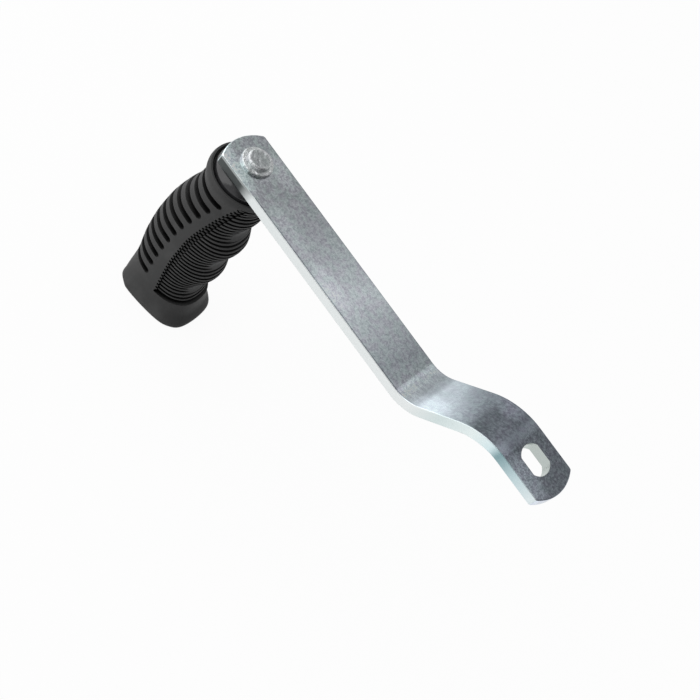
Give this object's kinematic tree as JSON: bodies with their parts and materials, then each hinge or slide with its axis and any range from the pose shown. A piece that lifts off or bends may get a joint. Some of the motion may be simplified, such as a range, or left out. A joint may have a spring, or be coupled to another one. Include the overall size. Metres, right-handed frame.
{
  "type": "crank handle",
  "caption": "Hand crank: cranked flat steel arm with a double-D drive slot and a freely turning moulded grip on a riveted spindle.",
  "frame": {"origin": "centre of the double-D drive slot on the face that seats against the winch shaft's shoulder", "axes": "+X along the arm from the drive slot to the grip spindle; +Z is the seating face's outward normal, along the drive shaft towards the winch; the grip hangs from the arm towards -Z"},
  "size_m": [0.1961, 0.0364, 0.1277],
  "materials": {
    "arm_zinc": "bright zinc plate over rolled flat bar, mottled satin with a faint blue and violet cast",
    "spindle_zinc": "bright zinc plate, hammered rivet head",
    "collar_nylon": "smooth black nylon",
    "washer_zinc": "bright zinc plate",
    "grip_plastic": "matte charcoal polypropylene with a fine moulded grain"
  },
  "bodies": {
    "crank": {"crank_arm": "arm_zinc", "handle_spindle": "spindle_zinc", "thrust_collar": "collar_nylon", "retaining_washer": "washer_zinc"},
    "grip": {"hand_grip": "grip_plastic"}
  },
  "joints": [
    {"name": "grip_turn", "type": "hinge", "parent": "crank", "child": "grip", "pos_m": [0.16, 0, -0.08], "axis": [0, 0, 1], "continuous": true}
  ]
}
